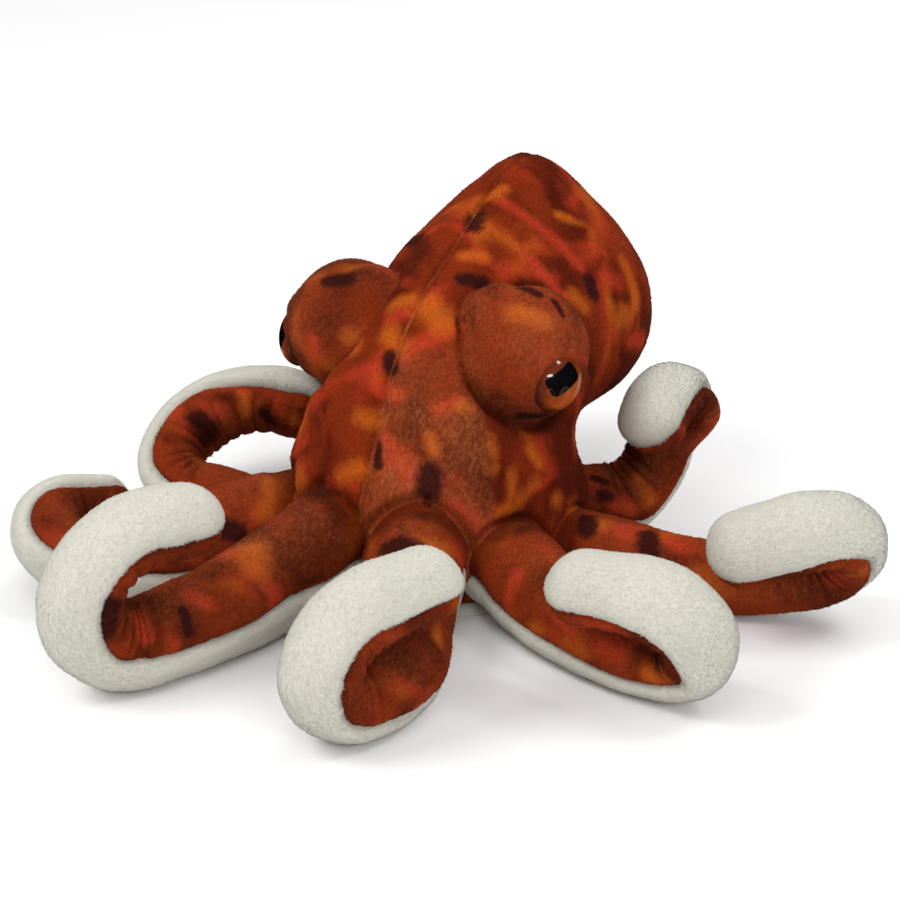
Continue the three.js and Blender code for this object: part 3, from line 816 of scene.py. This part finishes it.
def print_plush(name, coat):
    """The printed plush, for the cloth under the pile and for the pile itself."""
    m = Nodes(name)
    place = m.place()
    broad = m.noise(place, 34, warp=0.5)
    mottled = m.noise(place, 13, 3.0, 0.6, 0.6)
    fine = m.noise(place, 2.4, 2.0, 0.6)
    grain = m.noise(place, 0.7, 2.0, 0.6)
    edge = m.times(m.less(fine, 0.5), 0.8)
    wander = m.times(m.less(mottled, 0.5), 2.0)

    def patched(mark, tint, strength, stray, outside, inside):
        """The colour so far with the patches of one marking, their edges uneven."""
        near = m.plus(m.plus(m.mark(mark), m.times(wander, stray)), edge)
        return m.mix(m.times(m.ramp(near, outside, inside), strength), colour, tint)

    colour = m.mix(m.ramp(broad, 0.38, 0.58), UMBER, RUST)
    colour = m.mix(m.times(m.ramp(mottled, 0.47, 0.30), 0.75), colour, MAROON)
    # A broken net of warm veins, coral in most places and amber in others.
    net = m.veins(place, 32, 0.6)
    vein = m.ramp(m.plus(net, m.times(edge, 0.05)), 0.15, 0.0)
    broken = m.ramp(m.noise(place, 21, 1.0), 0.42, 0.62)
    warmth = m.ramp(m.noise(place, 23, 1.0), 0.50, 0.64)
    # The veins fade where painted sheen lies.
    without_sheen = m.less(1.0, m.mark("painted_sheen"))
    vein = m.times(m.times(m.times(vein, broken), 0.70), without_sheen)
    colour = m.mix(vein, colour, m.mix(warmth, CORAL, AMBER))
    soft = m.times(m.ramp(m.noise(place, 17, warp=0.8), 0.60, 0.82), 0.26)
    colour = m.mix(soft, colour, AMBER)
    colour = patched("coral", CORAL, 0.80, 0.7, 1.9, 0.1)
    colour = patched("amber", AMBER, 0.78, 0.7, 1.9, 0.1)
    # Painted sheen: a pale tan where the pile would catch the light, broken into fine streaks.
    streak = m.noise(place, 0.9, rough=0.6, stretch=(1.0, 0.45, 0.45))
    streak = m.times(m.ramp(streak, 0.40, 0.70), 0.34)
    painted_sheen = m.times(m.mark("painted_sheen"), m.plus(0.20, streak))
    colour = m.mix(painted_sheen, colour, SHEEN_COLOUR)
    colour = patched("spot", SPOT, 0.93, 0.25, 1.45, 0.55)
    # Pile in a fold shows its dark roots.
    # Painted shade in folds, creases, recesses and where parts meet.
    colour = m.mix(m.times(m.mark("deep"), 0.80), colour, m.tinted(colour, PAINTED_SHADE_TINT))
    thread = m.ramp(m.mark("seam"), 0.75, 0.10)
    thread = m.times(thread, m.ramp(m.noise(place, 9, 1.0), 0.30, 0.62))
    colour = m.mix(m.times(thread, 0.5), colour, THREAD)
    colour = m.mix(m.ramp(grain, 0.30, 0.75), m.tinted(colour, GRAIN_TINT), colour)
    if coat:
        colour = m.mix(m.times(m.mark("strand"), 0.6), colour, m.tinted(colour, TIP_TINT))
    m.feed(m.shader, {
        "Base Color": colour,
        "Roughness": 0.85,
        "Specular IOR Level": 0.04,
        "Sheen Weight": 0.04,
        "Sheen Roughness": 0.4,
        "Sheen Tint": (1.0, 0.35, 0.18, 1.0),
    })
    if not coat:
        pile = m.noise(place, 0.9, 2.0, 0.6)
        m.bump(m.plus(pile, m.times(fine, 0.6)), 0.5, 0.5)
    return m.material


def cream_plush(name, coat):
    """The plain plush, slightly soiled, for the cloth under the pile and for the pile itself."""
    m = Nodes(name)
    place = m.place()
    clumps = m.noise(place, 2.6, 3.0, 0.6)
    soil = m.noise(place, 24)
    colour = m.mix(m.ramp(clumps, 0.3, 0.7), CREAM_LOW, CREAM)
    colour = m.mix(m.times(m.ramp(soil, 0.45, 0.75), 0.2), colour, CREAM_SOIL)
    if coat:
        colour = m.mix(m.times(m.mark("strand"), 0.35), colour, CREAM_TIP)
    m.feed(m.shader, {
        "Base Color": colour,
        "Roughness": 0.9,
        "Specular IOR Level": 0.08,
        "Sheen Weight": 0.08,
        "Sheen Roughness": 0.5,
    })
    if not coat:
        m.bump(m.noise(place, 1.0, 3.0, 0.6), 0.4, 0.4)
    return m.material


# ---- Build ----

print_skin = print_plush("print_plush_cloth", False)
print_coat = print_plush("print_plush_pile", True)
cream_skin = cream_plush("cream_plush_cloth", False)
cream_coat = cream_plush("cream_plush_pile", True)


def finish_piece(obj, material, nodes=()):
    """Gives a piece its material and its place in the frame, with the nodes it stands for."""
    obj.data.materials.clear()
    obj.data.materials.append(material)
    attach(obj, "root")
    if nodes:
        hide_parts(*nodes)


def set_arm_uv(skin, notes, columns):
    """Unwraps a half arm: along it and over its outside, with the strip through its middle beside."""
    s, across = notes[:, 0], notes[:, 3]
    column = np.arange(len(notes)) % columns
    middle = column > HALF_SIDES
    v = np.where(middle, 0.90 + 0.08 * (column - HALF_SIDES) / (MIDDLE_SIDES + 1), 0.02 + 0.84 * across)
    u = 0.03 + 0.94 * (s - s.min()) / (s.max() - s.min())
    uv = np.concatenate([np.stack([u, v], 1), [[0.01, 0.45], [0.99, 0.45]]])
    corner = read(skin.data.loops, "vertex_index", 1, np.int32)
    values = uv[corner]
    # The last column of a ring joins its first one, which has a second place in the unwrap.
    corner = corner.reshape(-1, 3)
    at = np.where(corner < len(notes), corner % columns, -1)
    wraps = (at.max(1) == columns - 1)[:, None] & (at == 0)
    values[wraps.ravel(), 1] = 0.98
    layer = skin.data.uv_layers.new(name="OFBake")
    layer.data.foreach_set("uv", values.ravel())


def build_arm(name, angle, root, tip, seam_turn, strokes, seed):
    """An arm of two halves, printed outside and cream inside, each a skin with a coat of pile."""
    frames = walk_arm(angle, root, tip, strokes)
    for part in ("upper", "under"):
        places, ways, notes = arm_grid(frames, part, seam_turn)
        rows, columns = places.shape[:2]
        points = np.concatenate([places.reshape(-1, 3), [places[0].mean(0), places[-1].mean(0)]])
        skin = mesh_object(f"arm_{name}_{part}", points, tube_faces(rows, columns))
        notes = notes.reshape(-1, 4)
        lie = np.concatenate([ways.reshape(-1, 3), ways[0, :1], ways[-1, :1]])
        set_arm_uv(skin, notes, columns)
        s, from_seam, deep, across = np.concatenate([notes, notes[:1], notes[-1:]]).T
        printed = part == "upper"
        # Painted shade on the print at the arm's root, where it meets the body.
        deep = np.maximum(deep, 0.85 * (1 - step(s, 0, 5)) * printed)
        outside = np.concatenate([np.tile(np.arange(columns) <= HALF_SIDES, rows), [False, False]])
        # Painted sheen, most along the middle of each half, where the pile would catch the light; only
        # the print shows it.
        ridge = bell(across - 0.5, 0.22)
        painted_sheen = np.clip(0.22 + 0.40 * ridge * (0.6 + 0.8 * noise(points / MM, 18, 62)), 0, 1)
        set_marks(skin, markings(points, np.full(len(points), FAR_FROM_SEAM), deep, painted_sheen))
        nodes = [f"arm_{name}_{part}_{length}" for length in ("root", "middle", "tip")]
        finish_piece(skin, print_skin if printed else cream_skin, nodes)
        # Next to the seam the pile of each side falls over the other.
        sideways = np.cross(read(skin.data.vertices, "normal", 3), lie)
        sideways *= np.where(across < 0.5, 1, -1)[:, None]
        fringe = step(-from_seam, -2.6, -0.2)
        lean = (fringe * (PRINT_LEAN if printed else 1))[:, None]
        lie = lie * (1 - lean) + sideways * lean
        where = (outside & (s > 1)).astype(float)
        pile = PRINT_PILE if printed else {**CREAM_PILE, "length": CREAM_LENGTH + FRINGE_LENGTH * fringe}
        coat = make_coat(f"{skin.name}_pile", skin, lie, where, seed if printed else seed + 50, **pile)
        finish_piece(coat, print_coat if printed else cream_coat)


# Where the mantle's pile meets the head's: a point (y, z) on the dividing plane, in millimetres, and
# the way (y, z) it faces.
MANTLE_EDGE = (-20, 83.5)
MANTLE_FACING = (0.53, 0.85)
BARE_FOOT = 4  # height below which the body has no pile, in millimetres


def build_body():
    """The skin of head, mantle and eye mounds, with a coat of pile for the head and the mantle."""
    skin = body_skin()
    seams, deep, painted_sheen = shape_body(skin)
    bpy.context.view_layer.objects.active = skin
    skin.select_set(True)
    bpy.ops.object.mode_set(mode="EDIT")
    bpy.ops.mesh.select_all(action="SELECT")
    bpy.ops.uv.smart_project(angle_limit=math.radians(66), island_margin=0.004)
    bpy.ops.object.mode_set(mode="OBJECT")
    skin.data.uv_layers[0].name = "OFBake"
    places = read(skin.data.vertices, "co", 3)
    set_marks(skin, markings(places, seams, deep, painted_sheen))
    nodes = ["head", "mantle", "eye_mound_left", "eye_mound_right"]
    finish_piece(skin, print_skin, nodes)
    p = places / MM
    forward = (p[:, 1:] - MANTLE_EDGE) @ MANTLE_FACING
    is_mantle = (forward > 0) & (mound_distance(p, 1, -1) >= 1.12)
    for name, share, seed in (("mantle_pile", is_mantle, 201), ("head_pile", ~is_mantle, 202)):
        where = (share & (p[:, 2] > BARE_FOOT)).astype(float)
        coat = make_coat(name, skin, body_lie(p), where, seed, **BODY_PILE)
        finish_piece(coat, print_coat)


def base_panel():
    """The cream panel under the body, puckered into its seam."""
    rings, sides = 26, 96
    under, rise = 0.25 * MM, 2.6 * MM
    low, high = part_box("base_panel")
    radius = (high.x - low.x) / 2
    turns = np.linspace(0, 2 * math.pi, sides, endpoint=False)
    verts = []
    for k in range(rings + 1):
        t = k / rings
        if t < 0.5:
            r, z = radius * (0.06 + 0.94 * t * 2), under
        else:
            r, z = radius * (1 - 0.12 * (t - 0.5) * 2), under + rise * math.sin((t - 0.5) * math.pi)
        wavy = r * (1 + 0.012 * np.sin(turns * 23 + 1.3) * t)
        verts.append(np.stack([wavy * np.cos(turns), wavy * np.sin(turns), np.full(sides, z)], 1))
    panel = closed_tube("base_panel_cloth", np.concatenate(verts), rings + 1, sides)
    finish_piece(panel, cream_skin, ["base_panel"])


# The bar pupil, in millimetres from the middle of the eye.
PUPIL_SLANT = math.radians(24)
PUPIL_BACK = -0.9
PUPIL_UP = 2.2
PUPIL_LONG = 3.9  # half its length, without its rounded corners
PUPIL_WIDE = 1.5  # half its width, without them
PUPIL_CORNER = (1.7, 2.1)  # radius of its corners, inside and outside their soft edge
IRIS_HIGH = (0.130, 0.020, 0.006)
IRIS_LOW = (0.46, 0.090, 0.012)
IRIS_RIM = (0.05, 0.012, 0.006)
PUPIL_COLOUR = (0.003, 0.003, 0.004)


def build_eye(side, node):
    """A plastic eye: a clear glossy dome over a painted brown iris with a slanting bar pupil."""
    rings, sides = 40, 72
    middle = np.array([side * EYE["x"], EYE["y"], EYE["z"]])
    facing = unit(np.array(EYE["facing"]) * [side, 1, 1])
    right = unit(np.cross([0, 0, 1.0], facing))
    over = np.cross(facing, right)
    verts = []
    polar = np.linspace(0.02, math.pi - 0.02, rings)
    turns = np.linspace(0, 2 * math.pi, sides, endpoint=False)
    ring = np.outer(np.cos(turns), right) + np.outer(np.sin(turns), over)
    for t in polar:
        out = EYE["radius"] * math.sin(t)
        deep = EYE["depth"] * math.cos(t) * (1.0 if t < math.pi / 2 else 0.6)
        verts.append(facing * deep + ring * out)
    eye = closed_tube(f"{node}_ball", (np.concatenate(verts) + middle) * MM, rings, sides)
    m = Nodes(f"{node}_gloss")
    place = m.place()
    offset = m.vector("SUBTRACT", place, {1: tuple(middle * MM)})[0]

    def along(direction):
        """How far a place lies from the middle of the eye in one direction, in millimetres."""
        return m.times(m.vector("DOT_PRODUCT", offset, {1: tuple(direction)})["Value"], 1000.0)

    def beyond(distance, centre, reach):
        """How far a distance lies outside the band of that reach round its centre."""
        return m.math("MAXIMUM", m.less(m.math("ABSOLUTE", m.less(distance, centre)), reach), 0.0)

    back = right * side  # towards the back of the head
    cos, sin = math.cos(PUPIL_SLANT), math.sin(PUPIL_SLANT)
    a, b = along(back * cos + over * sin), along(over * cos - back * sin)
    # The bar lies in the upper half of the eye, and its corners are rounded.
    away = m.hypot(beyond(a, PUPIL_BACK, PUPIL_LONG), beyond(b, PUPIL_UP, PUPIL_WIDE))
    pupil = m.ramp(away, *reversed(PUPIL_CORNER))
    radius = m.hypot(along(right), along(over))
    cloud = m.noise(place, 3.0)
    low = m.less(m.times(cloud, 5.0), m.times(b, 0.9))
    iris = m.mix(m.ramp(low, -1.0, 9.0), IRIS_HIGH, IRIS_LOW)
    rim = m.ramp(m.plus(radius, m.times(cloud, 1.5)), 8.6, 10.6)
    iris = m.mix(rim, iris, IRIS_RIM)
    m.feed(m.shader, {
        "Base Color": m.mix(pupil, iris, PUPIL_COLOUR),
        "Roughness": 0.3,
        "Specular IOR Level": 0.04,
        "Coat Weight": 1.0,
        "Coat Roughness": 0.03,
    })
    finish_piece(eye, m.material, [node])


for number, (arm_name, arm) in enumerate(ARMS.items()):
    build_arm(arm_name, *arm, 100 + number)
build_body()
base_panel()
build_eye(1, "eye_left")
build_eye(-1, "eye_right")

# ---- Stage ----

LIT_POINT = Vector((0, 0, 0.05))
# Name, place and size in metres, power in watts, and whether the eyes mirror it.
SOFTBOXES = [
    ("key", (-0.55, -0.75, 1.05), (0.6, 0.6), 8.0, False),
    ("window", (0.89, -0.94, 0.68), (0.50, 0.18), 4.6, True),
    ("side_window", (0.76, 0.16, 1.03), (0.22, 0.26), 1.8, True),
    ("above", (0.30, -0.75, 1.25), (0.4, 0.4), 1.6, False),
    ("back", (0.2, 1.0, 0.9), (0.9, 0.6), 4.0, False),
]
# The camera: what it looks at and how far off it is, in metres, and its angles round the object from
# the front towards its left side and up, in degrees.
AIM = Vector((-0.0003, 0.0151, 0.0337))
CAMERA_DISTANCE = 0.9
CAMERA_ROUND = 27
CAMERA_UP = 22


def stand(name, data, place, target):
    """A lamp or camera at a place, turned to the target."""
    obj = add_object(name, data)
    obj.location = place
    obj.rotation_euler = (target - Vector(place)).to_track_quat("-Z", "Y").to_euler()
    return obj


floor = mesh_object("floor", [[-6, -6, 0], [6, -6, 0], [6, 6, 0], [-6, 6, 0]], [[0, 1, 2, 3]])
paper = Nodes("floor_paper")
paper.feed(paper.shader, {"Base Color": (0.90, 0.90, 0.90, 1.0), "Roughness": 0.9})
floor.data.materials.append(paper.material)
floor.visible_glossy = False

world = bpy.data.worlds.new("studio")
world.use_nodes = True
background = world.node_tree.nodes["Background"].inputs
background["Color"].default_value = (1, 1, 1, 1)
background["Strength"].default_value = 0.75
world.cycles_visibility.glossy = False
scene = bpy.context.scene
scene.world = world
scene.view_settings.view_transform = "Standard"

for lamp_name, place, size, power, mirrored in SOFTBOXES:
    lamp_data = bpy.data.lights.new(lamp_name, "AREA")
    lamp_data.shape = "RECTANGLE"
    lamp_data.size, lamp_data.size_y = size
    lamp_data.energy = power
    stand(lamp_name, lamp_data, place, LIT_POINT).visible_glossy = mirrored

camera_data = bpy.data.cameras.new("camera")
camera_data.lens = 109.1
camera_data.sensor_width = 36
camera_data.clip_end = 20
turn, lift = math.radians(CAMERA_ROUND), math.radians(CAMERA_UP)
way = Vector((math.sin(turn) * math.cos(lift), -math.cos(turn) * math.cos(lift), math.sin(lift)))
scene.camera = stand("camera", camera_data, AIM + way * CAMERA_DISTANCE, AIM)

bpy.context.view_layer.update()
